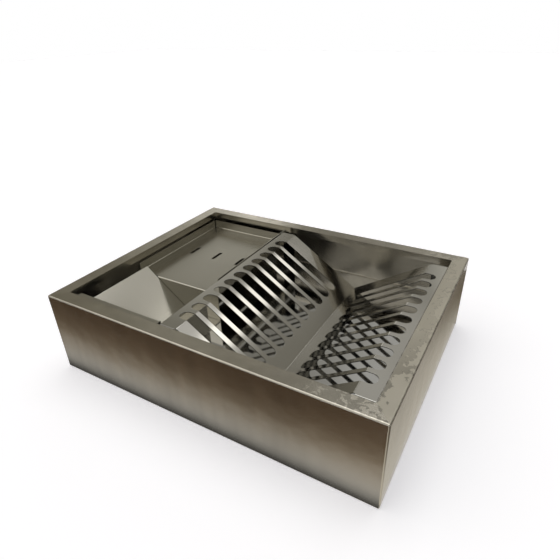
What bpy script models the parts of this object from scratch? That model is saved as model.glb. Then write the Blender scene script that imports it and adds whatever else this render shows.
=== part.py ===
"""Stainless steel dish drainer, folded from sheet.

A rectangular case with a turned-in rim stands on its folded bottom edge and carries a polished
floor pan at part of its height. A slotted V-shaped plate rack fills the right of the case, and a
welded insert with a cup tray and a cutlery well fills the left. Rack and insert lift straight out.

Units are metres and +Z is up. +X runs along the long side, and the front panel faces -Y. The
origin lies under the middle of the case, on the surface that it stands on.
"""

import math
from bisect import bisect_right

import bmesh
import bpy
from mathutils import Matrix, Vector

COLLECTION_NAME = "stainless_steel_dish_drainer"

# Case
CASE_LENGTH = 0.450
CASE_DEPTH = 0.350
CASE_HEIGHT = 0.115
CASE_SHEET = 0.001
CASE_BEND = 0.001
RIM_WIDTH = 0.0194
LIP_DEPTH = 0.010
FOOT_WIDTH = 0.012
MITRE_GAP = 0.0003

# Floor pan
PAN_TOP = 0.0455
PAN_SHEET = 0.001
PAN_BEND = 0.0015
PAN_SKIRT = 0.012
WELD_GAP = 0.0003

# Plate rack
RACK_SHEET = 0.001
RACK_BEND = 0.001
RACK_FLANGE = 0.0226
RACK_SIDE_GAP = 0.0005
RACK_FRONT_GAP = 0.0003
RACK_BACK_GAP = 0.0226
RACK_VALLEY_SHIFT = 0.0023
RACK_LEG_BEND = 0.0003
RACK_LEG_RELIEF = 0.001
RACK_LEG_CORNER = 0.004
SLOT_WIDTH = 0.0154
SLOT_PITCH = 0.0222
SLOT_FRONT_MARGIN = 0.0283
SLOT_BACK_MARGIN = 0.030
SLOT_EDGE = 0.0075
SLOT_VALLEY = 0.0218
SEAT_GAP = 0.0003

# Insert with cup tray and cutlery well
INSERT_WIDTH = 0.1473
INSERT_SIDE_GAP = 0.002
INSERT_RACK_GAP = 0.0040
INSERT_SHEET = 0.001
INSERT_BEND = 0.001
TRAY_DEPTH = 0.025
TRAY_WALL = 0.0125
DIVIDER_DROP = 0.001
TRAY_BACK_GAP = 0.0061
TRAY_CORNER_RELIEF = 0.0003
DRAIN_SLOT_COUNT = 3
DRAIN_SLOT_LENGTH = 0.025
DRAIN_SLOT_WIDTH = 0.005
DRAIN_SLOT_EDGE = 0.0305
DRAIN_SLOT_FRONT = 0.082
WELL_WIDTH = 0.109
CHEEK_FLANGE = 0.0065
CHEEK_INSET = 0.0136
CHUTE_ANGLE = math.radians(38.4)
CHUTE_INSET = 0.0186
CHUTE_RISE = 0.0005
CHUTE_WING = 0.0815
CHUTE_WING_DROP = 0.0005
LEG_FLANGE = 0.012
LEG_INSET = 0.010
LEG_SETBACK = 0.018

# Facets and finish
BEND_FACET = math.radians(22.5)
SLOT_END_STEPS = 8
SHARP_ANGLE = math.radians(30)
WELD_DISTANCE = 0.000002
CUT_TOLERANCE = 0.000001
SATIN_COLOUR = (0.42, 0.40, 0.36, 1.0)
RACK_COLOUR = (0.52, 0.51, 0.48, 1.0)
POLISHED_COLOUR = (0.60, 0.59, 0.58, 1.0)
SATIN_ROUGHNESS = 0.32
RACK_ROUGHNESS = 0.22
POLISHED_ROUGHNESS = 0.06

# Places worked out from the sizes above
RIM_FRONT = RIM_WIDTH - CASE_DEPTH / 2
RIM_BACK = CASE_DEPTH / 2 - RIM_WIDTH
RIM_LEFT = RIM_WIDTH - CASE_LENGTH / 2
RIM_RIGHT = CASE_LENGTH / 2 - RIM_WIDTH
SEAT_HEIGHT = PAN_TOP + SEAT_GAP
INSERT_LEFT = RIM_LEFT + INSERT_SIDE_GAP
INSERT_RIGHT = INSERT_LEFT + INSERT_WIDTH
RACK_LEFT = INSERT_RIGHT + INSERT_RACK_GAP
RACK_RIGHT = RIM_RIGHT - RACK_SIDE_GAP
RACK_FRONT = RIM_FRONT + RACK_FRONT_GAP
RACK_BACK = RIM_BACK - RACK_BACK_GAP
TRAY_FLOOR = CASE_HEIGHT - TRAY_DEPTH
TRAY_TOP = TRAY_FLOOR + TRAY_WALL
TRAY_BACK = RIM_BACK - TRAY_BACK_GAP
CHEEK_FACE = RACK_FRONT + CHEEK_FLANGE
PARTITION_FACE = CHEEK_FACE + WELL_WIDTH
CHUTE_BOTTOM = SEAT_HEIGHT + INSERT_SHEET
CHUTE_TOP = TRAY_TOP + CHUTE_RISE
CHUTE_LEFT = INSERT_LEFT + CHUTE_INSET
CHUTE_KNEE = CHUTE_LEFT + (CHUTE_TOP - CHUTE_BOTTOM) / math.tan(CHUTE_ANGLE)


class Section:
    """A folded sheet seen end on: straight runs along its upper face, joined by round folds.

    The corners say where the upper face would turn if each fold were sharp. Along the sheet runs
    a flat coordinate, which on the base run is the same as the real one.
    """

    def __init__(self, corners, sheet, bend, base_run):
        points = [Vector(corner) for corner in corners]
        headings = [(end - start).normalized() for start, end in zip(points, points[1:])]
        turns = [self.turn(before, after) for before, after in zip(headings, headings[1:])]
        radii = [bend if turn > 0 else bend + sheet for turn in turns]
        folds = [radius * math.tan(abs(turn) / 2) for radius, turn in zip(radii, turns)]
        self.setbacks = [0.0, *folds, 0.0]
        self.run_starts = []
        self.stations = []
        flat = 0.0
        for run, heading in enumerate(headings):
            start = points[run] + heading * self.setbacks[run]
            end = points[run + 1] - heading * self.setbacks[run + 1]
            normal = Vector((-heading.y, heading.x))
            self.run_starts.append(flat)
            self.stations.append((flat, start, normal))
            flat += (end - start).length
            self.stations.append((flat, end, normal))
            if run == len(turns):
                break
            flat = self.add_fold(flat, end, normal, turns[run], radii[run])
        base_start = points[base_run] + headings[base_run] * self.setbacks[base_run]
        shift = base_start.x - self.run_starts[base_run]
        self.run_starts = [start + shift for start in self.run_starts]
        self.stations = [(flat + shift, point, normal) for flat, point, normal in self.stations]
        self.flats = [station[0] for station in self.stations]

    @staticmethod
    def turn(before, after):
        """The angle from one heading to the next, positive where the sheet turns up."""
        return math.atan2(before.x * after.y - before.y * after.x, before.dot(after))

    def add_fold(self, flat, end, normal, turn, radius):
        """Add the stations inside one round fold and return the flat coordinate past it."""
        steps = max(2, math.ceil(abs(turn) / BEND_FACET - CUT_TOLERANCE))
        side = math.copysign(radius, turn)
        centre = end + normal * side
        for step in range(1, steps):
            turned = Matrix.Rotation(turn * step / steps, 2) @ normal
            self.stations.append((flat + radius * abs(turn) * step / steps, centre - turned * side, turned))
        return flat + radius * abs(turn)

    def flat(self, run, distance):
        """The flat coordinate of a point on a run, at this distance from the run's first corner."""
        return self.run_starts[run] + distance - self.setbacks[run]

    def place(self, flat, height):
        """Where a point of the flat sheet lies once the sheet is folded."""
        after = min(max(bisect_right(self.flats, flat), 1), len(self.flats) - 1)
        first, second = self.stations[after - 1], self.stations[after]
        share = (flat - first[0]) / (second[0] - first[0])
        point = first[1].lerp(second[1], share)
        normal = first[2].lerp(second[2], share)
        return point + normal * height


def clear_scene():
    """Remove what the file opens with."""
    for item in list(bpy.data.objects):
        bpy.data.objects.remove(item)


def make_collection(name):
    """Make a collection under the scene's own."""
    collection = bpy.data.collections.new(name)
    bpy.context.scene.collection.children.link(collection)
    return collection


def make_steel(name, colour, roughness):
    """Make a steel material of this colour and roughness."""
    material = bpy.data.materials.new(name)
    material.use_nodes = True
    shader = material.node_tree.nodes["Principled BSDF"]
    shader.inputs["Base Color"].default_value = colour
    shader.inputs["Metallic"].default_value = 1.0
    shader.inputs["Roughness"].default_value = roughness
    material.diffuse_color = colour
    return material


def rectangle(left, front, right, back):
    """The corners of a rectangular outline, anticlockwise."""
    return [(left, front), (right, front), (right, back), (left, back)]


def slot_outline(first, second, width):
    """A slot with round ends whose tips lie at two points on a line along X or Y."""
    start, end = Vector(first), Vector(second)
    along = (end - start).normalized()
    across = Vector((-along.y, along.x))
    radius = width / 2
    outline = []
    for centre, heading in ((end - along * radius, along), (start + along * radius, -along)):
        side = across if heading.dot(along) > 0 else -across
        for step in range(SLOT_END_STEPS + 1):
            angle = math.pi * step / SLOT_END_STEPS
            outline.append(centre - side * radius * math.cos(angle) + heading * radius * math.sin(angle))
    return outline


def cut_blank(outline, holes, sheet):
    """Cut a flat blank with its holes, its upper face at height zero, and return it as a bmesh."""
    curve = bpy.data.curves.new("blank", "CURVE")
    curve.dimensions = "2D"
    curve.fill_mode = "BOTH"
    curve.extrude = sheet / 2
    for loop in (outline, *holes):
        spline = curve.splines.new("POLY")
        spline.points.add(len(loop) - 1)
        for point, corner in zip(spline.points, loop):
            point.co = (corner[0], corner[1], 0, 1)
        spline.use_cyclic_u = True
    blank = bpy.data.objects.new("blank", curve)
    bpy.context.scene.collection.objects.link(blank)
    evaluated = blank.evaluated_get(bpy.context.evaluated_depsgraph_get())
    mesh = bpy.data.meshes.new_from_object(evaluated)
    sheet_mesh = bmesh.new()
    sheet_mesh.from_mesh(mesh)
    bpy.data.objects.remove(blank)
    bpy.data.curves.remove(curve)
    bpy.data.meshes.remove(mesh)
    bmesh.ops.remove_doubles(sheet_mesh, verts=sheet_mesh.verts, dist=WELD_DISTANCE)
    bmesh.ops.translate(sheet_mesh, verts=sheet_mesh.verts, vec=(0, 0, -sheet / 2))
    return sheet_mesh


def everything(sheet_mesh):
    """All vertices, edges and faces of a bmesh, as its operators take them."""
    return [*sheet_mesh.verts, *sheet_mesh.edges, *sheet_mesh.faces]


def fold(sheet_mesh, section, axis):
    """Fold a blank along X (axis 0) or Y (axis 1) into a section."""
    normal = Vector((1, 0, 0)) if axis == 0 else Vector((0, 1, 0))
    for flat in section.flats[1:-1]:
        bmesh.ops.bisect_plane(sheet_mesh, geom=everything(sheet_mesh), dist=CUT_TOLERANCE,
                               plane_co=normal * flat, plane_no=normal)
    for vertex in sheet_mesh.verts:
        placed = section.place(vertex.co[axis], vertex.co.z)
        vertex.co[axis] = placed.x
        vertex.co.z = placed.y


def mitre(sheet_mesh, length, end):
    """Cut one end of a panel at 45 degrees across its inward depth; end is 1 or -1 along X."""
    inset = MITRE_GAP / 2 * math.sqrt(2)
    cut = bmesh.ops.bisect_plane(sheet_mesh, geom=everything(sheet_mesh), dist=CUT_TOLERANCE,
                                 plane_co=(end * (length / 2 - inset), 0, 0),
                                 plane_no=(end, 1, 0), clear_outer=True)
    rim = [item for item in cut["geom_cut"] if isinstance(item, bmesh.types.BMEdge)]
    bmesh.ops.edgeloop_fill(sheet_mesh, edges=rim)


def make_piece(name, sheet_mesh, material, collection, parent=None, location=(0, 0, 0), turn=0.0):
    """Finish a folded sheet as a named object, placed in the world."""
    bmesh.ops.recalc_face_normals(sheet_mesh, faces=sheet_mesh.faces)
    mesh = bpy.data.meshes.new(name)
    sheet_mesh.to_mesh(mesh)
    sheet_mesh.free()
    mesh.shade_smooth()
    mesh.set_sharp_from_angle(angle=SHARP_ANGLE)
    mesh.materials.append(material)
    piece = bpy.data.objects.new(name, mesh)
    collection.objects.link(piece)
    piece.location = location
    piece.rotation_euler.z = turn
    if parent is not None:
        piece.parent = parent
        piece.location = Vector(location) - parent.location
    return piece


def make_lift_axis(name, place, collection):
    """Make the empty that carries the pieces which lift out together."""
    axis = bpy.data.objects.new(name, None)
    axis.location = place
    collection.objects.link(axis)
    return axis


def make_case_panels(collection, steel):
    """Fold the four panels, each with its foot, wall, rim and lip, mitred at both ends."""
    section = Section(
        [(FOOT_WIDTH, 0), (0, 0), (0, CASE_HEIGHT), (RIM_WIDTH, CASE_HEIGHT),
         (RIM_WIDTH, CASE_HEIGHT - LIP_DEPTH)],
        CASE_SHEET, CASE_BEND, base_run=2)
    sides = (
        ("front_panel", CASE_LENGTH, (0, -CASE_DEPTH / 2, 0), 0),
        ("right_panel", CASE_DEPTH, (CASE_LENGTH / 2, 0, 0), math.pi / 2),
        ("back_panel", CASE_LENGTH, (0, CASE_DEPTH / 2, 0), math.pi),
        ("left_panel", CASE_DEPTH, (-CASE_LENGTH / 2, 0, 0), -math.pi / 2),
    )
    for name, length, location, turn in sides:
        outline = rectangle(-length / 2, section.flats[0], length / 2, section.flats[-1])
        panel = cut_blank(outline, [], CASE_SHEET)
        fold(panel, section, axis=1)
        mitre(panel, length, 1)
        mitre(panel, length, -1)
        make_piece(name, panel, steel, collection, location=location, turn=turn)


def make_floor_pan(collection, steel):
    """Fold the pan that closes the case at part of its height, with a skirt turned down all round."""
    half_length = CASE_LENGTH / 2 - CASE_SHEET - WELD_GAP
    half_depth = CASE_DEPTH / 2 - CASE_SHEET - WELD_GAP
    across = Section(
        [(-half_depth, -PAN_SKIRT), (-half_depth, 0), (half_depth, 0), (half_depth, -PAN_SKIRT)],
        PAN_SHEET, PAN_BEND, base_run=1)
    along = Section(
        [(-half_length, PAN_TOP - PAN_SKIRT), (-half_length, PAN_TOP), (half_length, PAN_TOP),
         (half_length, PAN_TOP - PAN_SKIRT)],
        PAN_SHEET, PAN_BEND, base_run=1)
    notch = PAN_BEND + PAN_SHEET
    inner_x, inner_y = half_length - notch, half_depth - notch
    outer_x, outer_y = along.flats[-1], across.flats[-1]
    outline = [
        (-inner_x, -outer_y), (inner_x, -outer_y), (inner_x, -inner_y), (outer_x, -inner_y),
        (outer_x, inner_y), (inner_x, inner_y), (inner_x, outer_y), (-inner_x, outer_y),
        (-inner_x, inner_y), (-outer_x, inner_y), (-outer_x, -inner_y), (-inner_x, -inner_y),
    ]
    pan = cut_blank(outline, [], PAN_SHEET)
    fold(pan, across, axis=1)
    fold(pan, along, axis=0)
    make_piece("floor_pan", pan, steel, collection)


def make_plate_rack(collection, steel):
    """Fold the slotted V that plates stand in, with a leg at each end of both side flanges.

    The valley lies a little to the left of the middle, so the left slope is the steeper one.
    """
    valley = ((RACK_LEFT + RACK_RIGHT) / 2 - RACK_VALLEY_SHIFT, SEAT_HEIGHT + RACK_SHEET)
    left_fold = (RACK_LEFT + RACK_FLANGE, CASE_HEIGHT)
    right_fold = (RACK_RIGHT - RACK_FLANGE, CASE_HEIGHT)
    left_slope = (Vector(valley) - Vector(left_fold)).length
    along = Section([(RACK_LEFT, CASE_HEIGHT), left_fold, valley, right_fold, (RACK_RIGHT, CASE_HEIGHT)],
                    RACK_SHEET, RACK_BEND, base_run=0)
    leg = CASE_HEIGHT - SEAT_HEIGHT
    across = Section([(RACK_FRONT, -leg), (RACK_FRONT, 0), (RACK_BACK, 0), (RACK_BACK, -leg)],
                     RACK_SHEET, RACK_LEG_BEND, base_run=1)

    slot_ends = (
        (along.flat(0, SLOT_EDGE), along.flat(1, left_slope - SLOT_VALLEY)),
        (along.flat(2, SLOT_VALLEY), along.flat(3, RACK_FLANGE - SLOT_EDGE)),
    )
    room = RACK_BACK - RACK_FRONT - SLOT_FRONT_MARGIN - SLOT_BACK_MARGIN
    slot_count = int(room / SLOT_PITCH) + 1
    slots = []
    for index in range(slot_count):
        place = RACK_FRONT + SLOT_FRONT_MARGIN + index * SLOT_PITCH
        for start, end in slot_ends:
            slots.append(slot_outline((start, place), (end, place), SLOT_WIDTH))

    left, right = along.flats[0], along.flats[-1]
    left_leg = along.flat(0, RACK_FLANGE) - along.setbacks[1] * 2 - RACK_LEG_RELIEF
    right_leg = along.flat(3, 0) + along.setbacks[3] * 2 + RACK_LEG_RELIEF
    front = RACK_FRONT + across.setbacks[1] + RACK_LEG_RELIEF
    back = RACK_BACK - across.setbacks[2] - RACK_LEG_RELIEF
    front_leg, back_leg = across.flats[0], across.flats[-1]
    corner = RACK_LEG_CORNER
    outline = [
        (left, front_leg + corner), (left + corner, front_leg), (left_leg - corner, front_leg),
        (left_leg, front_leg + corner), (left_leg, front), (right_leg, front),
        (right_leg, front_leg + corner), (right_leg + corner, front_leg), (right - corner, front_leg),
        (right, front_leg + corner), (right, back_leg - corner), (right - corner, back_leg),
        (right_leg + corner, back_leg), (right_leg, back_leg - corner), (right_leg, back),
        (left_leg, back), (left_leg, back_leg - corner), (left_leg - corner, back_leg),
        (left + corner, back_leg), (left, back_leg - corner),
    ]
    rack = cut_blank(outline, slots, RACK_SHEET)
    fold(rack, across, axis=1)
    fold(rack, along, axis=0)
    lift = make_lift_axis("rack_lift", (valley[0], (RACK_FRONT + RACK_BACK) / 2, 0), collection)
    make_piece("plate_rack", rack, steel, collection, parent=lift)


def under_chute(height):
    """Where the underside of the chute's slope crosses this height, along X."""
    knee = CHUTE_KNEE - INSERT_SHEET * math.tan(CHUTE_ANGLE / 2)
    return knee - (height - SEAT_HEIGHT) / math.tan(CHUTE_ANGLE)


def make_cup_tray(collection, steel, lift):
    """Fold the tray that cups drain on, with the partition that stands between it and the well.

    Its right-hand wall is the divider beside the plates, and rises almost to the rim.
    """
    inner_back = TRAY_BACK - INSERT_SHEET
    inner_left = INSERT_LEFT + INSERT_SHEET
    inner_right = INSERT_RIGHT - INSERT_SHEET
    drop = TRAY_FLOOR - SEAT_HEIGHT
    across = Section([(PARTITION_FACE, -drop), (PARTITION_FACE, 0), (inner_back, 0), (inner_back, TRAY_WALL)],
                     INSERT_SHEET, INSERT_BEND, base_run=1)
    along = Section([(inner_left, TRAY_TOP), (inner_left, TRAY_FLOOR), (inner_right, TRAY_FLOOR),
                     (inner_right, CASE_HEIGHT - DIVIDER_DROP)],
                    INSERT_SHEET, INSERT_BEND, base_run=1)
    relief = INSERT_BEND + TRAY_CORNER_RELIEF
    left, right = inner_left + relief, inner_right - relief
    front = PARTITION_FACE + across.setbacks[1]
    back = inner_back - relief
    wall_left, wall_right = along.flats[0], along.flats[-1]
    wall_back, foot = across.flats[-1], across.flats[0]
    slope_top = under_chute(TRAY_FLOOR - across.setbacks[1])
    outline = [
        (under_chute(SEAT_HEIGHT), foot), (right, foot), (right, front), (wall_right, front),
        (wall_right, back), (right, back), (right, wall_back), (left, wall_back), (left, back),
        (wall_left, back), (wall_left, front), (slope_top, front),
        (slope_top, across.flat(0, drop - across.setbacks[1])),
    ]
    drain_pitch = (INSERT_WIDTH - 2 * DRAIN_SLOT_EDGE) / (DRAIN_SLOT_COUNT - 1)
    drain_front = PARTITION_FACE + DRAIN_SLOT_FRONT
    drains = []
    for index in range(DRAIN_SLOT_COUNT):
        place = INSERT_LEFT + DRAIN_SLOT_EDGE + index * drain_pitch
        drains.append(slot_outline((place, drain_front), (place, drain_front + DRAIN_SLOT_LENGTH),
                                   DRAIN_SLOT_WIDTH))
    tray = cut_blank(outline, drains, INSERT_SHEET)
    fold(tray, across, axis=1)
    fold(tray, along, axis=0)
    make_piece("cup_tray", tray, steel, collection, parent=lift)


def make_cutlery_chute(collection, steel, lift):
    """Fold the strip that is the well's slope and bottom, with a wing turned up at its right-hand end.

    The wing stands along the front of the well only, and stops level with the cup tray's floor.
    """
    inner_right = INSERT_RIGHT - INSERT_SHEET
    along = Section([(CHUTE_LEFT, CHUTE_TOP), (CHUTE_KNEE, CHUTE_BOTTOM), (inner_right, CHUTE_BOTTOM),
                     (inner_right, TRAY_FLOOR - CHUTE_WING_DROP)],
                    INSERT_SHEET, INSERT_BEND, base_run=1)
    front, back = CHEEK_FACE + WELD_GAP, PARTITION_FACE - WELD_GAP
    wing_root = along.flat(1, inner_right - CHUTE_KNEE) - along.setbacks[2]
    outline = [
        (along.flats[0], front), (along.flats[-1], front), (along.flats[-1], front + CHUTE_WING),
        (wing_root, front + CHUTE_WING), (wing_root, back), (along.flats[0], back),
    ]
    chute = cut_blank(outline, [], INSERT_SHEET)
    fold(chute, along, axis=0)
    make_piece("cutlery_chute", chute, steel, collection, parent=lift)


def make_cutlery_cheek(collection, steel, lift):
    """Fold the well's front wall, with a narrow flange level with the rim."""
    across = Section([(RACK_FRONT, CASE_HEIGHT), (CHEEK_FACE, CASE_HEIGHT), (CHEEK_FACE, SEAT_HEIGHT)],
                     INSERT_SHEET, INSERT_BEND, base_run=0)
    left = INSERT_LEFT + CHEEK_INSET
    slope_end = SEAT_HEIGHT + (under_chute(SEAT_HEIGHT) - left) * math.tan(CHUTE_ANGLE)
    outline = [
        (left, across.flats[0]), (INSERT_RIGHT, across.flats[0]), (INSERT_RIGHT, across.flats[-1]),
        (under_chute(SEAT_HEIGHT), across.flats[-1]), (left, across.flat(1, CASE_HEIGHT - slope_end)),
    ]
    cheek = cut_blank(outline, [], INSERT_SHEET)
    fold(cheek, across, axis=1)
    make_piece("cutlery_cheek", cheek, steel, collection, parent=lift)


def make_tray_leg(collection, steel, lift):
    """Fold the channel that stands under the back of the cup tray."""
    top = TRAY_FLOOR - INSERT_SHEET - WELD_GAP
    back = TRAY_BACK - LEG_SETBACK
    across = Section([(back - LEG_FLANGE, top), (back, top), (back, SEAT_HEIGHT),
                      (back - LEG_FLANGE, SEAT_HEIGHT)],
                     INSERT_SHEET, INSERT_BEND, base_run=0)
    outline = rectangle(INSERT_LEFT + LEG_INSET, across.flats[0], INSERT_RIGHT - LEG_INSET, across.flats[-1])
    leg = cut_blank(outline, [], INSERT_SHEET)
    fold(leg, across, axis=1)
    make_piece("tray_leg", leg, steel, collection, parent=lift)


def main():
    """Build the whole drainer."""
    clear_scene()
    collection = make_collection(COLLECTION_NAME)
    satin = make_steel("satin_steel", SATIN_COLOUR, SATIN_ROUGHNESS)
    bright = make_steel("bright_rolled_steel", RACK_COLOUR, RACK_ROUGHNESS)
    polished = make_steel("polished_steel", POLISHED_COLOUR, POLISHED_ROUGHNESS)
    make_case_panels(collection, satin)
    make_floor_pan(collection, polished)
    make_plate_rack(collection, bright)
    insert_middle = ((INSERT_LEFT + INSERT_RIGHT) / 2, (RACK_FRONT + TRAY_BACK) / 2, 0)
    lift = make_lift_axis("insert_lift", insert_middle, collection)
    make_cup_tray(collection, bright, lift)
    make_cutlery_chute(collection, bright, lift)
    make_cutlery_cheek(collection, bright, lift)
    make_tray_leg(collection, bright, lift)


if __name__ == "__main__":
    main()
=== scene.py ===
"""The looks of a stainless steel dish drainer, built around its packed sheet-metal frame.

Lengths are in metres. +X runs along the long side towards the plate rack, the front faces -Y, and +Z
is up.
"""

import math

import bmesh
import bpy
from bpy.props import FloatProperty, FloatVectorProperty, IntProperty, PointerProperty
from mathutils import Matrix, Quaternion, Vector


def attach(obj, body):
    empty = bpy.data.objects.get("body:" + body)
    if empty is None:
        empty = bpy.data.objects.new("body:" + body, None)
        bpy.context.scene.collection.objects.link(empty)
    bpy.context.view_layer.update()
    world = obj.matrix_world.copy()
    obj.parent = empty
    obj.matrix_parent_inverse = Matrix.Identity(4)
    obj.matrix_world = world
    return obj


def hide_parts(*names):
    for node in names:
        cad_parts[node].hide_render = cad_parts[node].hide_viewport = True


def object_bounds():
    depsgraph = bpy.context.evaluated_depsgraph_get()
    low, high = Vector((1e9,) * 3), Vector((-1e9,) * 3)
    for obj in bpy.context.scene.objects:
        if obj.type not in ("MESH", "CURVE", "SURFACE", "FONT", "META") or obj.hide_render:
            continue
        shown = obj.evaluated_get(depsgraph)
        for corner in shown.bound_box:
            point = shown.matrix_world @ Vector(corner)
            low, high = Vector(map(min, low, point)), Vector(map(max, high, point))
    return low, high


bl_info = {
    "name": "Stainless Steel Dish Drainer",
    "version": (1, 0, 0),
    "blender": (4, 5, 0),
    "location": "View3D > Sidebar > Drainer",
    "description": "Builds the case, plate rack and insert of a folded steel dish drainer, and its stage",
    "category": "Add Mesh",
}

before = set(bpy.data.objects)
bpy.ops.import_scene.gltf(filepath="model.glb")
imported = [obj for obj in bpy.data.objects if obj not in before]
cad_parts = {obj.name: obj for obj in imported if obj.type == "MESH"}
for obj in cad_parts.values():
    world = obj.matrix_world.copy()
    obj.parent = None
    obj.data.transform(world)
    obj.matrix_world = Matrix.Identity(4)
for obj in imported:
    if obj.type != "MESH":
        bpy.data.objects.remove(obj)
CAD_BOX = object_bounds()

METRE = 1.0
MILLIMETRE = 0.001
HALF_LENGTH, HALF_DEPTH = CAD_BOX[1][:2]
CASE_NODES = ("front_panel", "back_panel", "left_panel", "right_panel")
INSERT_NODES = ("cup_tray", "cutlery_chute", "cutlery_cheek", "tray_leg")

# How meshes are cleaned and folds rounded
FLAT_ANGLE = math.radians(1)
SHARP_ANGLE = math.radians(35)
WELD_DISTANCE = 0.005 * MILLIMETRE
FOLD_STEPS = 5

# Cells of the patterns, in millimetres
GRAIN_LONG, GRAIN_WIDE = 40, 0.8333
PATCH_CELL = 10
STREAK_WIDE, STREAK_LONG = 25, 250
WAVE_CELL = 38.46
ROLL_MARK_APART, ROLL_MARK_LONG = 1, 83.33
HAZE_CELL = 71.43

# A noise pattern is mostly between these values, and that of the wiping streaks between the last two
NOISE_LOW = 0.3
NOISE_HIGH = 0.7
WIPED = (0.32, 0.68)

# Where the marks on the satin steel start and reach their full strength
NEAR_MITRE = (5 * MILLIMETRE, 75 * MILLIMETRE)
OUTER_RIM = (207 * MILLIMETRE, 222 * MILLIMETRE)
HAND_WORK = (60 * MILLIMETRE, 190 * MILLIMETRE)
WALL_END = (110 * MILLIMETRE, 215 * MILLIMETRE)
FRONT_RIGHT_CORNER = (240 * MILLIMETRE, 370 * MILLIMETRE)

# How far up a normal points where steel starts to count as level and does so fully, how far up where it
# counts as upright fully and no longer, and how far forwards a face points where it starts to take painted
# shade and takes it fully
LEVEL = (0.6, 0.95)
UPRIGHT = (0.0, 0.5)
FRONT_FACING = (0.12, 0.45)

# Ground patches: what is added to the noise near a mitre and off it, and on the inner and the outer
# rim; the noise from which they start and are whole; and that of their contour, with its half width
MITRE_LIKELY = (0.06, -0.10)
RIM_LIKELY = (-0.04, 0.18)
PATCH_START = (0.505, 0.53)
CONTOUR_AT = (0.508, 0.010)

# How strong a mark is: hand work and painted sheen at their faintest, patches on the long and the short
# walls, the matting of the side rims, and the painted shade on the rack's front-facing edges and leg bends
FAINTEST = 0.12
PATCH_STRENGTH = (0.28, 0.60)
RUBBED_MATT = 0.3
RACK_FRONT_SHADE = 0.8

# How much paler or darker a mark is than the steel; the wall end and side rim sheens are painted sheen,
# the corner and the rack's front shade are painted shade
WIPED_SHADE = 0.88
WALL_END_SHEEN_SHADE = 1.22
SIDE_RIM_SHEEN_SHADE = 1.26
PAINTED_CORNER_SHADE = 0.62
PATCH_SHADE = 1.38
CONTOUR_SHADE = 0.55
HAZE_SHADE = 0.95
PAINTED_FRONT_SHADE = 0.12

# Roughness
GRAIN_ROUGHNESS = (0.205, 0.225)
PATCH_ROUGHNESS = 0.40
RUBBED_ROUGHNESS = 0.45
PAN_ROUGHNESS = 0.06
RACK_ROUGHNESS = 0.105
INSERT_ROUGHNESS = 0.21
ROLL_MARK_SPREAD = 0.08

# Relief of the satin steel, and how far its grain draws reflections out
SCRATCH_DEPTH = 0.03 * MILLIMETRE
SCRATCH_STRENGTH = 0.01
WAVE_DEPTH = 0.7 * MILLIMETRE
GRAIN_PULL = 0.6

# Toned cards on the floor, which glow with painted light and shade; their darkest tones next to the wall
# are painted shadow. Each tone goes by the distance from the wall in metres, and on the card along the
# right wall by the distance from the middle along Y, plus six times that from the wall.
FLAG_HEIGHT = 0.4 * MILLIMETRE
FLAG_GAP = 0.5 * MILLIMETRE
FLAG_REACH = 0.9
SIDE_FLAG_GAP = 2.5 * MILLIMETRE
SIDE_FLAG_REACH = 37 * MILLIMETRE
SIDE_FLAG_ENDS = (-0.3, 0.36)
SIDE_FLAG_SLANT = 6
FRONT_TONES = (
    (0.0, "#3a3938"), (0.004, "#5c5c5c"), (0.009, "#8c8c8c"), (0.017, "#b2b0ae"), (0.031, "#b2ada6"),
    (0.044, "#988d80"), (0.059, "#6f604e"), (0.087, "#50402f"), (0.155, "#48382d"),
)
SIDE_TONES = (
    (-0.05, "#cec9bf"), (0.07, "#c4bfb4"), (0.18, "#beb8ad"), (0.25, "#aea99d"),
    (0.31, "#877f6e"), (0.37, "#625747"), (0.55, "#544938"),
)
FAR_TONES = (
    (0.0, "#4a4a49"), (0.004, "#6c6c6b"), (0.010, "#a3a2a0"), (0.025, "#c0beba"),
    (0.060, "#b5b1aa"), (0.110, "#a29c92"), (0.200, "#8f887c"),
)
RIGHT_TONES = (
    (0.0, "#4a4a49"), (0.004, "#6c6c6b"), (0.010, "#a3a2a0"), (0.025, "#c0beba"),
    (0.050, "#9d978d"), (0.090, "#5c5449"), (0.200, "#40392f"),
)

# Floor: half its width, the paper's colour, and the glow that lifts it to white
FLOOR_REACH = 6.0
PAPER = "#f7f7f7"
PAPER_GLOW = "#f0f1ff"
PAPER_LIFT = 0.35

# Lamps. The window's way is its azimuth from +Y towards +X and its elevation, in degrees.
LAMP_TARGET = (0.0, 0.0, 0.1)
WINDOW_WAY = (24.5, 42)
WINDOW_DISTANCE = 1.5
WINDOW_ROLL = math.radians(-50)
WINDOW_SIZE = (0.56, 0.13)
WINDOW_RADIANCE = 1.3
WINDOW_COLOUR = "#fffdf7"
OVERHEAD_PLACE = (0.0, 0.5, 2.0)
OVERHEAD_ANGLE = math.radians(44)
OVERHEAD_STRENGTH = 0.8

# Radiance of the room, by the cosine of the angle to its axis
ROOM_AXIS = (0, 42)
ROOM_TONES = (
    (0.10, (0.34, 0.33, 0.30, 1.0)), (0.45, (0.10, 0.09, 0.075, 1.0)),
    (0.65, (0.20, 0.188, 0.150, 1.0)), (0.80, (0.235, 0.225, 0.190, 1.0)),
    (0.91, (0.22, 0.21, 0.18, 1.0)), (0.96, (0.34, 0.33, 0.30, 1.0)), (1.0, (0.28, 0.27, 0.24, 1.0)),
)
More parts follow.
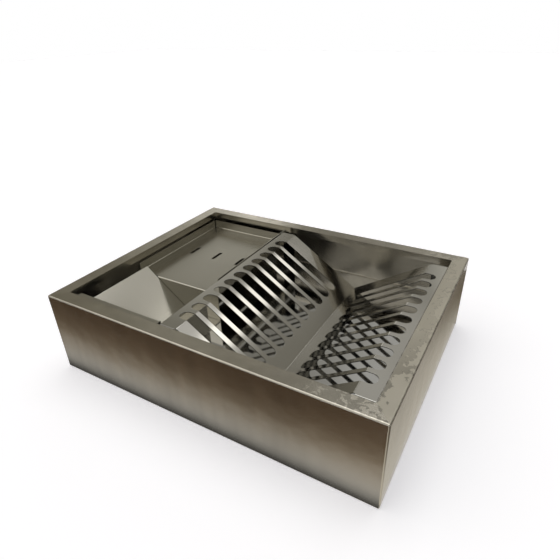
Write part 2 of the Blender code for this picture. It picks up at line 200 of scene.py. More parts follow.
# Soft glows and dark spots of the room: azimuth from +Y towards +X and elevation, full and last
# reach, all in degrees, and radiance
GLOWS = (
    ((-125, 64), 26, 41, (1.14, 1.11, 1.05)),
    ((27, 49), 4, 9, (0.62, 0.61, 0.58)),
    ((-16, 42), 2, 5, (0.46, 0.45, 0.42)),
    ((-12.5, 35.5), 2, 5, (0.44, 0.43, 0.40)),
    ((-5, 27), 2, 5, (0.52, 0.51, 0.46)),
    ((-36, 15), 7, 9.5, (1.50, 1.47, 1.39)),
    ((-42, 24), 5, 10, (0.42, 0.41, 0.37)),
    ((27, 19), 8, 14, (0.07, 0.065, 0.05)),
    ((38, 7), 8, 13, (0.03, 0.025, 0.02)),
)
# White horizon, in parts of a direction one long: how high it reaches, and how far to each side of
# a middle that is turned a little to the left
HORIZON_RISE = (0.12, 0.25)
HORIZON_SIDE = (0.18, 0.40)
HORIZON_TURN = 0.10

# Camera, with its sensor in millimetres
SENSOR_WIDTH = 36
NEAREST_SEEN = 10 * MILLIMETRE


# Colours, scales and directions


def linear(colour):
    """Turn an sRGB hex colour into a linear colour with alpha."""
    channels = [int(colour[place:place + 2], 16) / 255 for place in (1, 3, 5)]
    straight = [c / 12.92 if c <= 0.04045 else ((c + 0.055) / 1.055) ** 2.4 for c in channels]
    return (*straight, 1.0)


def shade(colour, share):
    """The same colour, darker or lighter by a share."""
    return (*[min(channel * share, 1.0) for channel in colour[:3]], 1.0)


def per_metre(cell):
    """How many cells of a pattern fit in a metre, for cells of this many millimetres."""
    return METRE / (cell * MILLIMETRE)


def along_way(azimuth, elevation):
    """The direction at this azimuth from +Y towards +X and this elevation, in degrees."""
    a, e = math.radians(azimuth), math.radians(elevation)
    return Vector((math.sin(a) * math.cos(e), math.cos(a) * math.cos(e), math.sin(e)))


# Settings


class CaseSettings(bpy.types.PropertyGroup):
    """Sizes and colours of the welded case."""

    rim_width: FloatProperty(
        name="Rim width",
        description="How far the top of each wall is turned in",
        default=0.0194,
        unit="LENGTH",
    )
    lip_depth: FloatProperty(
        name="Lip depth",
        description="How far the inner edge of the rim is turned down",
        default=0.010,
        unit="LENGTH",
    )
    foot_width: FloatProperty(
        name="Foot width",
        description="How far the bottom of each wall is turned in",
        default=0.012,
        unit="LENGTH",
    )
    sheet: FloatProperty(
        name="Sheet",
        description="Thickness of the steel sheet",
        default=0.001,
        unit="LENGTH",
    )
    fold_radius: FloatProperty(
        name="Fold radius",
        description="Outer radius of the folds and of the ground corners",
        default=0.0020,
        unit="LENGTH",
    )
    lip_radius: FloatProperty(
        name="Lip radius",
        description="Outer radius of the fold between rim and lip",
        default=0.0010,
        unit="LENGTH",
    )
    steel: FloatVectorProperty(
        name="Steel",
        description="Reflected colour of the satin steel",
        default=linear("#cbc6ba"),
        subtype="COLOR",
        size=4,
    )
    polish: FloatVectorProperty(
        name="Polish",
        description="Reflected colour of the polished floor pan",
        default=linear("#d4d4d3"),
        subtype="COLOR",
        size=4,
    )


class SheetSettings(bpy.types.PropertyGroup):
    """Cut edges and colours of the folded sheets inside the case."""

    rack_steel: FloatVectorProperty(
        name="Rack steel",
        description="Reflected colour of the bright rack",
        default=linear("#cfcdc7"),
        subtype="COLOR",
        size=4,
    )
    insert_steel: FloatVectorProperty(
        name="Insert steel",
        description="Reflected colour of the duller insert",
        default=linear("#c2bfb5"),
        subtype="COLOR",
        size=4,
    )
    easing: FloatProperty(
        name="Easing",
        description="How far the cut edges of the sheet are rounded",
        default=0.00016,
        unit="LENGTH",
    )
    easing_steps: IntProperty(
        name="Easing steps",
        description="Segments across a rounded cut edge",
        default=2,
        min=1,
    )


class StageSettings(bpy.types.PropertyGroup):
    """Place and lens of the camera."""

    camera_place: FloatVectorProperty(
        name="Camera place",
        description="Where the camera stands",
        default=(0.2864, -0.4555, 0.4155),
        subtype="TRANSLATION",
        size=3,
    )
    camera_target: FloatVectorProperty(
        name="Camera target",
        description="The point in the middle of the picture",
        default=(-0.03179, 0.08282, 0.0575),
        subtype="TRANSLATION",
        size=3,
    )
    camera_roll: FloatProperty(
        name="Camera roll",
        description="How far the camera is turned about its own axis",
        default=math.radians(-1.54),
        subtype="ANGLE",
    )
    focal_length: FloatProperty(
        name="Focal length",
        description="Focal length on a sensor 36 mm wide",
        default=29.49,
        unit="CAMERA",
    )


# Materials


def add_node(tree, kind, inputs=None, stops=(), **settings):
    """Add a node with its settings, and on a colour ramp its stops of place and colour.

    An input is named or numbered, and takes a value, a socket, or a node for its first socket.
    """
    node = tree.nodes.new(kind)
    for name, value in settings.items():
        setattr(node, name, value)
    if stops:
        points = node.color_ramp.elements
        for place, colour in stops[1:-1]:
            points.new(place).color = colour
        points[0].position, points[0].color = stops[0]
        points[-1].position, points[-1].color = stops[-1]
    for key, value in (inputs or {}).items():
        if isinstance(value, bpy.types.Node):
            value = value.outputs[0]
        if isinstance(value, bpy.types.NodeSocket):
            tree.links.new(value, node.inputs[key])
        else:
            node.inputs[key].default_value = value
    return node


def start_material(name):
    """Make an empty material and return it with its tree."""
    material = bpy.data.materials.new(name)
    material.use_nodes = True
    tree = material.node_tree
    tree.nodes.clear()
    return material, tree


def tell_walls_apart(tree, xyz):
    """Return the distance past the mitre line, and whether a point is on a long or a short wall."""
    far_x = add_node(tree, "ShaderNodeMath", {0: xyz["X"]}, operation="ABSOLUTE")
    far_y = add_node(tree, "ShaderNodeMath", {0: xyz["Y"]}, operation="ABSOLUTE")
    past_mitre = add_node(tree, "ShaderNodeMath", {0: far_x, 1: far_y}, operation="SUBTRACT")
    past_mitre = add_node(tree, "ShaderNodeMath", {
        0: past_mitre, 1: HALF_LENGTH - HALF_DEPTH}, operation="SUBTRACT")
    on_short = add_node(tree, "ShaderNodeMath", {0: past_mitre, 1: 0.0}, operation="GREATER_THAN")
    on_long = add_node(tree, "ShaderNodeMath", {0: 1.0, 1: on_short}, operation="SUBTRACT")
    return past_mitre, on_long, on_short


def belt_grain(tree, place, on_short):
    """Scratches of a grinding belt, which runs along X on the long walls and along Y on the short.

    Grit 240 leaves scratches of 0.05 mm, far finer than a pixel, so they are drawn 0.8 mm wide.
    """
    along, across = per_metre(GRAIN_LONG), per_metre(GRAIN_WIDE)
    long_way = add_node(tree, "ShaderNodeMapping", {0: place, "Scale": (along, across, across)})
    short_way = add_node(tree, "ShaderNodeMapping", {0: place, "Scale": (across, along, across)})
    way = add_node(tree, "ShaderNodeMix", {0: on_short, 4: long_way, 5: short_way}, data_type="VECTOR")
    return add_node(tree, "ShaderNodeTexNoise", {"Vector": way.outputs[1], "Scale": 1.0, "Detail": 3.0})


def ground_patches(tree, place, xyz, past_mitre, on_short):
    """Return whether a point is in a patch that was ground by hand, and whether it is at its edge.

    A patch is 10 to 20 mm wide, as the grinder's pad is. They lie near the mitres, and on the short
    walls all along the outer half of the rim.
    """
    noise = add_node(tree, "ShaderNodeTexNoise", {
        "Vector": place, "Scale": per_metre(PATCH_CELL), "Detail": 5.0, "Roughness": 0.60,
        "Distortion": 0.6})
    off_mitre = add_node(tree, "ShaderNodeMath", {0: past_mitre}, operation="ABSOLUTE")
    near_mitre = add_node(tree, "ShaderNodeMapRange", {
        0: off_mitre, 1: NEAR_MITRE[0], 2: NEAR_MITRE[1], 3: MITRE_LIKELY[0], 4: MITRE_LIKELY[1]})
    far_x = add_node(tree, "ShaderNodeMath", {0: xyz["X"]}, operation="ABSOLUTE")
    outer_rim = add_node(tree, "ShaderNodeMapRange", {
        0: far_x, 1: OUTER_RIM[0], 2: OUTER_RIM[1], 3: RIM_LIKELY[0], 4: RIM_LIKELY[1]})
    likely = add_node(tree, "ShaderNodeMath", {
        0: on_short, 1: outer_rim, 2: near_mitre}, operation="MULTIPLY_ADD")
    patchy = add_node(tree, "ShaderNodeMath", {0: noise, 1: likely})
    patch = add_node(tree, "ShaderNodeMapRange", {0: patchy, 1: PATCH_START[0], 2: PATCH_START[1]})
    contour = add_node(tree, "ShaderNodeMath", {
        0: patchy, 1: CONTOUR_AT[0], 2: CONTOUR_AT[1]}, operation="COMPARE")
    return patch, contour


def hand_work_and_sheen(tree, xyz, level, on_short):
    """Return how much painted sheen and matting the short walls get, and how much the ground patches show.

    Both show on level steel, and more and more towards the right; the sheen is painted on the level tops
    of the short walls. The patches are fainter on the long walls.
    """
    rightwards = add_node(tree, "ShaderNodeMapRange", {
        0: xyz["X"], 1: HAND_WORK[0], 2: HAND_WORK[1], 3: FAINTEST, 4: 1.0})
    work_and_sheen = add_node(tree, "ShaderNodeMath", {0: level, 1: rightwards}, operation="MULTIPLY")
    # Painted sheen on the level tops of the short walls, which are also made more matt
    sheen_and_matt = add_node(tree, "ShaderNodeMath", {0: work_and_sheen, 1: on_short}, operation="MULTIPLY")
    strength = add_node(tree, "ShaderNodeMapRange", {
        0: on_short, 3: PATCH_STRENGTH[0], 4: PATCH_STRENGTH[1]})
    patched = add_node(tree, "ShaderNodeMath", {0: strength, 1: work_and_sheen}, operation="MULTIPLY")
    return sheen_and_matt, patched


def front_wall_end_sheen(tree, xyz, up, on_long):
    """Return how much painted sheen lightens an upright long wall, from nothing in the middle to its right
    end.
    """
    rightwards = add_node(tree, "ShaderNodeMapRange", {0: xyz["X"], 1: WALL_END[0], 2: WALL_END[1]})
    upright = add_node(tree, "ShaderNodeMapRange", {
        0: up, 1: UPRIGHT[0], 2: UPRIGHT[1], 3: 1.0, 4: 0.0})
    end_sheen = add_node(tree, "ShaderNodeMath", {0: rightwards, 1: upright}, operation="MULTIPLY")
    return add_node(tree, "ShaderNodeMath", {0: end_sheen, 1: on_long}, operation="MULTIPLY")


def satin_case_steel(steel):
    """304 stainless steel, belt ground along each wall, with the corner welds ground by hand.

    The grain draws reflections out across itself, so the walls show soft bands and no images. The hand
    ground patches lie near the corners, with a ragged edge, and are paler and more matt. Painted sheen
    lightens the level tops of the short walls and the right ends of the long walls, and painted shade
    darkens the level steel at the front right corner.
    """
    material, tree = start_material("satin_ground_stainless_steel")
    place = add_node(tree, "ShaderNodeTexCoord").outputs["Object"]
    xyz = add_node(tree, "ShaderNodeSeparateXYZ", {0: place}).outputs
    normal = add_node(tree, "ShaderNodeNewGeometry").outputs["Normal"]
    up = add_node(tree, "ShaderNodeSeparateXYZ", {0: normal}).outputs["Z"]
    level = add_node(tree, "ShaderNodeMapRange", {
        0: up, 1: LEVEL[0], 2: LEVEL[1], 3: FAINTEST, 4: 1.0})
    past_mitre, on_long, on_short = tell_walls_apart(tree, xyz)
    grain_way = add_node(tree, "ShaderNodeCombineXYZ", {0: on_long, 1: on_short})
    across = add_node(tree, "ShaderNodeVectorMath", {0: normal, 1: grain_way}, operation="CROSS_PRODUCT")
    grain = belt_grain(tree, place, on_short)
    # Painted shade darkens the level steel at the front right corner.
    diagonal = add_node(tree, "ShaderNodeMath", {0: xyz["X"], 1: xyz["Y"]}, operation="SUBTRACT")
    corner = add_node(tree, "ShaderNodeMapRange", {
        0: diagonal, 1: FRONT_RIGHT_CORNER[0], 2: FRONT_RIGHT_CORNER[1]})
    corner = add_node(tree, "ShaderNodeMath", {0: corner, 1: level}, operation="MULTIPLY")
    end_sheen = front_wall_end_sheen(tree, xyz, up, on_long)
    sheen_and_matt, patched = hand_work_and_sheen(tree, xyz, level, on_short)
    patch, contour = ground_patches(tree, place, xyz, past_mitre, on_short)
    patch = add_node(tree, "ShaderNodeMath", {0: patch, 1: patched}, operation="MULTIPLY")
    contour = add_node(tree, "ShaderNodeMath", {0: contour, 1: patched}, operation="MULTIPLY")
    # Wiping leaves faint upright streaks.
    streak, drop = per_metre(STREAK_WIDE), per_metre(STREAK_LONG)
    upright = add_node(tree, "ShaderNodeMapping", {0: place, "Scale": (streak, streak, drop)})
    wiped = add_node(tree, "ShaderNodeTexNoise", {"Vector": upright, "Scale": 1.0, "Detail": 2.0})
    tone = add_node(tree, "ShaderNodeValToRGB", {0: wiped}, stops=(
        (WIPED[0], shade(steel, WIPED_SHADE)), (WIPED[1], steel)))
    # Painted sheen on the long walls' right ends and the side rims, painted shade at the front right
    # corner, then the real ground patches and their contours
    for share, paler in (
            (end_sheen, WALL_END_SHEEN_SHADE), (sheen_and_matt, SIDE_RIM_SHEEN_SHADE), (corner, PAINTED_CORNER_SHADE),
            (patch, PATCH_SHADE), (contour, CONTOUR_SHADE)):
        tone = add_node(tree, "ShaderNodeMix", {
            0: share, 6: tone, 7: shade(steel, paler)}, data_type="RGBA").outputs[2]
    smooth, coarse = GRAIN_ROUGHNESS
    rough = add_node(tree, "ShaderNodeMapRange", {
        0: grain, 1: NOISE_LOW, 2: NOISE_HIGH, 3: smooth, 4: coarse})
    rough = add_node(tree, "ShaderNodeMix", {0: patch, 2: rough, 3: PATCH_ROUGHNESS})
    matt = add_node(tree, "ShaderNodeMath", {0: sheen_and_matt, 1: RUBBED_MATT}, operation="MULTIPLY")
    rough = add_node(tree, "ShaderNodeMix", {0: matt, 2: rough, 3: RUBBED_ROUGHNESS})
    # Sheet 1 mm thick is never quite flat after welding: waves 40 mm long, about 0.3 mm deep.
    wave = add_node(tree, "ShaderNodeTexNoise", {
        "Vector": place, "Scale": per_metre(WAVE_CELL), "Detail": 2.0, "Roughness": 0.45})
    waves = add_node(tree, "ShaderNodeBump", {"Strength": 1.0, "Distance": WAVE_DEPTH, "Height": wave})
    bump = add_node(tree, "ShaderNodeBump", {
        "Strength": SCRATCH_STRENGTH, "Distance": SCRATCH_DEPTH, "Height": grain, "Normal": waves})
    shader = add_node(tree, "ShaderNodeBsdfPrincipled", {
        "Base Color": tone, "Metallic": 1.0, "Roughness": rough, "Anisotropic": GRAIN_PULL,
        "Tangent": across, "Normal": bump,
    })
    add_node(tree, "ShaderNodeOutputMaterial", {0: shader})
    return material


def rolled_steel(name, steel, roughness, front_shade_share=0.0):
    """304 stainless steel as it leaves the rolls: smooth, with a faint haze and long roll marks.

    Painted shade darkens what faces the front, by the given share: the front-facing half of each punched
    slot's cut edge, and the bends of the legs.
    """
    material, tree = start_material(name)
    place = add_node(tree, "ShaderNodeTexCoord").outputs["Object"]
    # Roll marks run along Y, 1 mm apart where real ones are a tenth of that.
    apart, long = per_metre(ROLL_MARK_APART), per_metre(ROLL_MARK_LONG)
    stretched = add_node(tree, "ShaderNodeMapping", {0: place, "Scale": (apart, long, apart)})
    marks = add_node(tree, "ShaderNodeTexNoise", {"Vector": stretched, "Scale": 1.0, "Detail": 2.0})
    haze = add_node(tree, "ShaderNodeTexNoise", {
        "Vector": place, "Scale": per_metre(HAZE_CELL), "Detail": 1.0})
    tone = add_node(tree, "ShaderNodeValToRGB", {0: haze}, stops=(
        (NOISE_LOW, shade(steel, HAZE_SHADE)), (NOISE_HIGH, steel)))
    # Painted shade on the faces that point to the front
    normal = add_node(tree, "ShaderNodeNewGeometry").outputs["Normal"]
    backwards = add_node(tree, "ShaderNodeSeparateXYZ", {0: normal}).outputs["Y"]
    front_shade_mask = add_node(tree, "ShaderNodeMapRange", {
        0: backwards, 1: -FRONT_FACING[0], 2: -FRONT_FACING[1], 3: 0.0, 4: front_shade_share})
    tone = add_node(tree, "ShaderNodeMix", {
        0: front_shade_mask, 6: tone, 7: shade(steel, PAINTED_FRONT_SHADE)}, data_type="RGBA").outputs[2]
    rough = add_node(tree, "ShaderNodeMapRange", {
        0: marks, 1: NOISE_LOW, 2: NOISE_HIGH,
        3: roughness * (1 - ROLL_MARK_SPREAD), 4: roughness * (1 + ROLL_MARK_SPREAD)})
    shader = add_node(tree, "ShaderNodeBsdfPrincipled", {
        "Base Color": tone, "Metallic": 1.0, "Roughness": rough})
    add_node(tree, "ShaderNodeOutputMaterial", {0: shader})
    return material


def toned_card(name, way, start, tones):
    """Card that glows with painted light and shade, for reflections only: its tone goes by the distance
    along a way, from a start, in metres, and is darkest next to the wall as painted shadow.
    """
    material, tree = start_material(name)
    place = add_node(tree, "ShaderNodeTexCoord").outputs["Object"]
    along = add_node(tree, "ShaderNodeVectorMath", {0: place, 1: way}, operation="DOT_PRODUCT")
    first, last = tones[0][0], tones[-1][0]
    share = add_node(tree, "ShaderNodeMapRange", {
        0: along.outputs["Value"], 1: start + first, 2: start + last})
    tone = add_node(tree, "ShaderNodeValToRGB", {0: share}, stops=[
        ((distance - first) / (last - first), linear(colour)) for distance, colour in tones])
    glow = add_node(tree, "ShaderNodeEmission", {"Color": tone, "Strength": 1.0})
    add_node(tree, "ShaderNodeOutputMaterial", {0: glow})
    return material


def white_paper():
    """Matt white paper that is also lifted to white wherever it is seen, straight or reflected.

    The lift is a little blue, because the lamps are warm and the paper would look cream.
    """
    material, tree = start_material("matt_white_paper")
    paper = add_node(tree, "ShaderNodeBsdfDiffuse", {"Color": linear(PAPER)})
    ray = add_node(tree, "ShaderNodeLightPath").outputs
    seen = add_node(tree, "ShaderNodeMath", {
        0: ray["Is Camera Ray"], 1: ray["Is Glossy Ray"]}, operation="MAXIMUM")
    seen = add_node(tree, "ShaderNodeMath", {0: seen, 1: ray["Is Transmission Ray"]}, operation="MAXIMUM")
    lift = add_node(tree, "ShaderNodeMath", {0: seen, 1: PAPER_LIFT}, operation="MULTIPLY")
    glow = add_node(tree, "ShaderNodeEmission", {"Color": linear(PAPER_GLOW), "Strength": lift})
    both = add_node(tree, "ShaderNodeAddShader", {0: paper, 1: glow})
    add_node(tree, "ShaderNodeOutputMaterial", {0: both})
    return material


# Modelling


def finish_piece(bm, name, material, body, nodes):
    """Turn a bmesh into a piece that rides on a body and stands for CAD nodes."""
    for face in bm.faces:
        face.smooth = True
    for edge in bm.edges:
        edge.smooth = edge.calc_face_angle(0.0) < SHARP_ANGLE
    mesh = bpy.data.meshes.new(name)
    bm.to_mesh(mesh)
    bm.free()
    mesh.materials.append(material)
    piece = bpy.data.objects.new(name, mesh)
    bpy.context.scene.collection.objects.link(piece)
    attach(piece, body)
    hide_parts(*nodes)
    return piece


def keep_flats_flat(piece):
    """Weigh the normals by face, so that round folds shade softly and flat sheet stays flat."""
    modifier = piece.modifiers.new("flat_sheet", "WEIGHTED_NORMAL")
    modifier.weight = 100
    modifier.keep_sharp = True


def build_case(settings):
    """Fold the whole case from one box: walls, rim, lip and foot, with every fold rounded."""
    low, high = CAD_BOX
    bm = bmesh.new()
    bmesh.ops.create_cube(bm, size=METRE)
    bmesh.ops.scale(bm, vec=high - low, verts=bm.verts)
    bmesh.ops.translate(bm, vec=(low + high) / 2, verts=bm.verts)
    top = next(face for face in bm.faces if face.normal.z > 0.5)
    bottom = next(face for face in bm.faces if face.normal.z < -0.5)
    bmesh.ops.inset_region(bm, faces=[top], thickness=settings.rim_width, use_even_offset=True)
    bmesh.ops.inset_region(bm, faces=[bottom], thickness=settings.foot_width, use_even_offset=True)
    mouth = list(top.edges)
    bmesh.ops.delete(bm, geom=[top, bottom], context="FACES_ONLY")
    lip = bmesh.ops.extrude_edge_only(bm, edges=mouth)["geom"]
    lip_points = [item for item in lip if isinstance(item, bmesh.types.BMVert)]
    bmesh.ops.translate(bm, vec=(0, 0, -settings.lip_depth), verts=lip_points)
    bmesh.ops.recalc_face_normals(bm, faces=bm.faces)
    lip_folds = [edge for edge in mouth if edge.is_valid]
    sharp = [edge for edge in bm.edges if edge.calc_face_angle(0.0) > SHARP_ANGLE]
    outer_folds = [edge for edge in sharp if edge not in lip_folds]
    for folds, radius in ((outer_folds, settings.fold_radius), (lip_folds, settings.lip_radius)):
        bmesh.ops.bevel(bm, geom=[edge for edge in folds if edge.is_valid], offset=radius,
                        offset_type="OFFSET", segments=FOLD_STEPS, profile=0.5, affect="EDGES",
                        material=-1)
    steel = satin_case_steel(settings.steel)
    piece = finish_piece(bm, "case_shell", steel, "case", CASE_NODES)
    wall = piece.modifiers.new("sheet", "SOLIDIFY")
    wall.thickness = settings.sheet
    wall.offset = -1
    wall.use_even_offset = True
    keep_flats_flat(piece)


def build_eased(node, name, material, body, settings):
    """Stand a piece in for a folded CAD sheet: the same sheet with its cut edges eased."""
    bm = bmesh.new()
    bm.from_mesh(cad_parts[node].data)
    bmesh.ops.remove_doubles(bm, verts=bm.verts, dist=WELD_DISTANCE)
    bmesh.ops.dissolve_limit(bm, angle_limit=FLAT_ANGLE, verts=bm.verts, edges=bm.edges)
    cut = [edge for edge in bm.edges if edge.calc_face_angle(0.0) > SHARP_ANGLE]
    bmesh.ops.bevel(bm, geom=cut, offset=settings.easing, offset_type="OFFSET",
                    segments=settings.easing_steps, profile=0.5, affect="EDGES", material=-1,
                    clamp_overlap=True)
    piece = finish_piece(bm, name, material, body, [node])
    keep_flats_flat(piece)


# Stage


def aim(place, target, roll=0.0):
    """The matrix of a lamp or camera that looks from one point to another."""
    turn = (Vector(target) - Vector(place)).to_track_quat("-Z", "Y") @ Quaternion((0, 0, 1), roll)
    return Matrix.LocRotScale(Vector(place), turn, None)


def stand(data, matrix):
    """Put a lamp or a camera in the scene."""
    item = bpy.data.objects.new(data.name, data)
    item.matrix_world = matrix
    bpy.context.scene.collection.objects.link(item)
    return item


def add_camera(settings):
    """Stand the camera at the picture's viewpoint."""
    data = bpy.data.cameras.new("viewpoint")
    data.lens = settings.focal_length
    data.sensor_width = SENSOR_WIDTH
    data.clip_start = NEAREST_SEEN
    view = aim(settings.camera_place, settings.camera_target, settings.camera_roll)
    bpy.context.scene.camera = stand(data, view)


def add_sheet(name, low, high, height, material):
    """Lay a flat rectangle of the stage."""
    bm = bmesh.new()
    bmesh.ops.create_grid(bm, x_segments=1, y_segments=1, size=METRE / 2)
    bmesh.ops.scale(bm, vec=(high[0] - low[0], high[1] - low[1], 1), verts=bm.verts)
    middle = ((low[0] + high[0]) / 2, (low[1] + high[1]) / 2, height)
    bmesh.ops.translate(bm, vec=middle, verts=bm.verts)
    mesh = bpy.data.meshes.new(name)
    bm.to_mesh(mesh)
    bm.free()
    mesh.materials.append(material)
    sheet = bpy.data.objects.new(name, mesh)
    bpy.context.scene.collection.objects.link(sheet)
    return sheet


def add_flag(name, low, high, way, start, tones):
    """Lay a toned card that only reflections show, as a studio flag for bright metal."""
    flag = add_sheet(name, low, high, FLAG_HEIGHT, toned_card(name, way, start, tones))
    flag.visible_camera = False
    flag.visible_diffuse = False
    flag.visible_shadow = False
    flag.visible_transmission = False
    flag.visible_volume_scatter = False


def lay_flags():
    """Lay the toned cards on the floor all round the case."""
    left, right = -HALF_LENGTH - FLAG_GAP, HALF_LENGTH + SIDE_FLAG_GAP
    front, back = -HALF_DEPTH - FLAG_GAP, HALF_DEPTH + FLAG_GAP
    far_right = HALF_LENGTH + SIDE_FLAG_REACH
    add_flag("front_flag", (-FLAG_REACH, -FLAG_REACH), (right, front), (0, -1, 0), HALF_DEPTH, FRONT_TONES)
    add_flag("side_flag", (right, SIDE_FLAG_ENDS[0]), (far_right, SIDE_FLAG_ENDS[1]),
             (SIDE_FLAG_SLANT, 1, 0), SIDE_FLAG_SLANT * HALF_LENGTH, SIDE_TONES)
    add_flag("far_side_flag", (far_right, -FLAG_REACH), (FLAG_REACH, FLAG_REACH),
             (1, 0, 0), HALF_LENGTH, RIGHT_TONES)
    add_flag("left_flag", (-FLAG_REACH, front), (left, FLAG_REACH), (-1, 0, 0), HALF_LENGTH, FAR_TONES)
    add_flag("back_flag", (left, back), (right, FLAG_REACH), (0, 1, 0), HALF_DEPTH, FAR_TONES)


def add_lamps():
    """Hang a tilted window softbox at the back right, and a wide soft light overhead."""
    target = Vector(LAMP_TARGET)
    width, height = WINDOW_SIZE
    window = bpy.data.lights.new("window_softbox", "AREA")
    window.shape = "RECTANGLE"
    window.size = width
    window.size_y = height
    window.energy = WINDOW_RADIANCE * width * height * math.pi
    window.color = linear(WINDOW_COLOUR)[:3]
    stand(window, aim(target + along_way(*WINDOW_WAY) * WINDOW_DISTANCE, target, WINDOW_ROLL))
    overhead = bpy.data.lights.new("overhead", "SUN")
    overhead.angle = OVERHEAD_ANGLE
    overhead.energy = OVERHEAD_STRENGTH
    stand(overhead, aim(OVERHEAD_PLACE, (0, 0, 0)))


def room_light(tree, way):
    """Return what reflections show of the room: dim, with soft glows and a few darker spots."""
    facing = add_node(tree, "ShaderNodeVectorMath", {
        0: way, 1: along_way(*ROOM_AXIS)}, operation="DOT_PRODUCT").outputs["Value"]
    room = add_node(tree, "ShaderNodeValToRGB", {0: facing}, stops=ROOM_TONES)
    for centre, near, far, radiance in GLOWS:
        aside = add_node(tree, "ShaderNodeVectorMath", {
            0: way, 1: along_way(*centre)}, operation="DOT_PRODUCT").outputs["Value"]
        share = add_node(tree, "ShaderNodeMapRange", {
            0: aside, 1: math.cos(math.radians(far)), 2: math.cos(math.radians(near))})
        room = add_node(tree, "ShaderNodeMix", {
            0: share, 6: room, 7: (*radiance, 1.0)}, data_type="RGBA").outputs[2]
    return room


def whiteness(tree, way):
    """Return how white the world is: at the horizon ahead and behind, and all of it for the camera."""
    xyz = add_node(tree, "ShaderNodeSeparateXYZ", {0: way}).outputs
    low = add_node(tree, "ShaderNodeMapRange", {
        0: xyz["Z"], 1: HORIZON_RISE[0], 2: HORIZON_RISE[1], 3: 1.0, 4: 0.0})
    sideways = add_node(tree, "ShaderNodeMath", {0: xyz["X"], 1: HORIZON_TURN}, operation="ADD")
    sideways = add_node(tree, "ShaderNodeMath", {0: sideways}, operation="ABSOLUTE")
    middle = add_node(tree, "ShaderNodeMapRange", {
        0: sideways, 1: HORIZON_SIDE[0], 2: HORIZON_SIDE[1], 3: 1.0, 4: 0.0})
    horizon = add_node(tree, "ShaderNodeMath", {0: low, 1: middle}, operation="MULTIPLY")
    seen = add_node(tree, "ShaderNodeLightPath").outputs["Is Camera Ray"]
    return add_node(tree, "ShaderNodeMath", {0: horizon, 1: seen}, operation="MAXIMUM")


def add_world():
    """Make a dim room with soft glows behind a white horizon."""
    world = bpy.data.worlds.new("studio")
    bpy.context.scene.world = world
    world.use_nodes = True
    tree = world.node_tree
    tree.nodes.clear()
    way = add_node(tree, "ShaderNodeTexCoord").outputs["Generated"]
    tone = add_node(tree, "ShaderNodeMix", {
        0: whiteness(tree, way), 6: room_light(tree, way), 7: (1.0, 1.0, 1.0, 1.0)}, data_type="RGBA")
    sky = add_node(tree, "ShaderNodeBackground", {"Color": tone.outputs[2], "Strength": 1.0})
    add_node(tree, "ShaderNodeOutputWorld", {0: sky})


def build_stage(settings):
    """Set up the floor, flags, lamps, world and camera."""
    add_sheet("floor", (-FLOOR_REACH, -FLOOR_REACH), (FLOOR_REACH, FLOOR_REACH), 0.0, white_paper())
    lay_flags()
    add_lamps()
    add_world()
    bpy.context.scene.view_settings.view_transform = "Standard"
    add_camera(settings)


# Operators


class DRAINER_OT_case(bpy.types.Operator):
    """Build the welded case"""

    bl_idname = "drainer.case"
    bl_label = "Case"

    def execute(self, context):
        build_case(context.scene.drainer_case)
        return {"FINISHED"}


class DRAINER_OT_floor_pan(bpy.types.Operator):
    """Polish the floor pan inside the case"""

    bl_idname = "drainer.floor_pan"
    bl_label = "Floor pan"

    def execute(self, context):
        case, sheet = context.scene.drainer_case, context.scene.drainer_sheet
        material = rolled_steel("mirror_polished_stainless_steel", case.polish, PAN_ROUGHNESS)
        build_eased("floor_pan", "polished_pan", material, "case", sheet)
        return {"FINISHED"}


class DRAINER_OT_plate_rack(bpy.types.Operator):
    """Build the slotted plate rack"""

    bl_idname = "drainer.plate_rack"
    bl_label = "Plate rack"

    def execute(self, context):
        sheet = context.scene.drainer_sheet
        material = rolled_steel(
            "bright_rolled_stainless_steel", sheet.rack_steel, RACK_ROUGHNESS, RACK_FRONT_SHADE)
        build_eased("plate_rack", "slotted_rack", material, "rack", sheet)
        return {"FINISHED"}


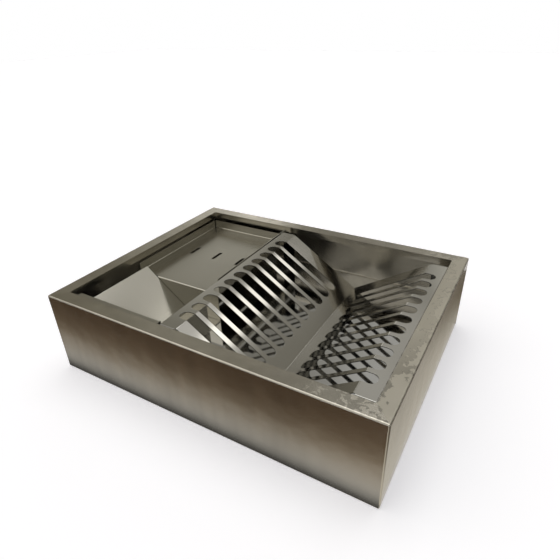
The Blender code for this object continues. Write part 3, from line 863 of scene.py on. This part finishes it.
class DRAINER_OT_insert(bpy.types.Operator):
    """Build the insert of cup tray, cutlery well and leg"""

    bl_idname = "drainer.insert"
    bl_label = "Insert"

    def execute(self, context):
        sheet = context.scene.drainer_sheet
        material = rolled_steel("dull_rolled_stainless_steel", sheet.insert_steel, INSERT_ROUGHNESS)
        for node in INSERT_NODES:
            build_eased(node, "folded_" + node, material, "insert", sheet)
        return {"FINISHED"}


class DRAINER_OT_stage(bpy.types.Operator):
    """Set up the floor, the lamps and the camera"""

    bl_idname = "drainer.stage"
    bl_label = "Stage"

    def execute(self, context):
        build_stage(context.scene.drainer_stage)
        return {"FINISHED"}


class DRAINER_PT_sidebar(bpy.types.Panel):
    """List the drainer's pieces and their settings"""

    bl_idname = "DRAINER_PT_sidebar"
    bl_label = "Dish drainer"
    bl_space_type = "VIEW_3D"
    bl_region_type = "UI"
    bl_category = "Drainer"

    def draw(self, context):
        scene = context.scene
        for settings in (scene.drainer_case, scene.drainer_sheet, scene.drainer_stage):
            box = self.layout.box()
            for name in settings.bl_rna.properties.keys():
                if name not in ("rna_type", "name"):
                    box.prop(settings, name)
        for operator in OPERATORS:
            self.layout.operator(operator.bl_idname)


SETTINGS = (CaseSettings, SheetSettings, StageSettings)
OPERATORS = (
    DRAINER_OT_stage, DRAINER_OT_case, DRAINER_OT_floor_pan, DRAINER_OT_plate_rack, DRAINER_OT_insert,
)
CLASSES = (*SETTINGS, *OPERATORS, DRAINER_PT_sidebar)


def register():
    """Register the classes and hang the settings on the scene."""
    for item in CLASSES:
        bpy.utils.register_class(item)
    bpy.types.Scene.drainer_case = PointerProperty(type=CaseSettings)
    bpy.types.Scene.drainer_sheet = PointerProperty(type=SheetSettings)
    bpy.types.Scene.drainer_stage = PointerProperty(type=StageSettings)


def unregister():
    """Take the settings and the classes away again."""
    del bpy.types.Scene.drainer_case
    del bpy.types.Scene.drainer_sheet
    del bpy.types.Scene.drainer_stage
    for item in reversed(CLASSES):
        bpy.utils.unregister_class(item)


def main():
    """Build every piece and the stage."""
    register()
    for operator in OPERATORS:
        group, name = operator.bl_idname.split(".")
        getattr(getattr(bpy.ops, group), name)()


if __name__ == "__main__":
    main()
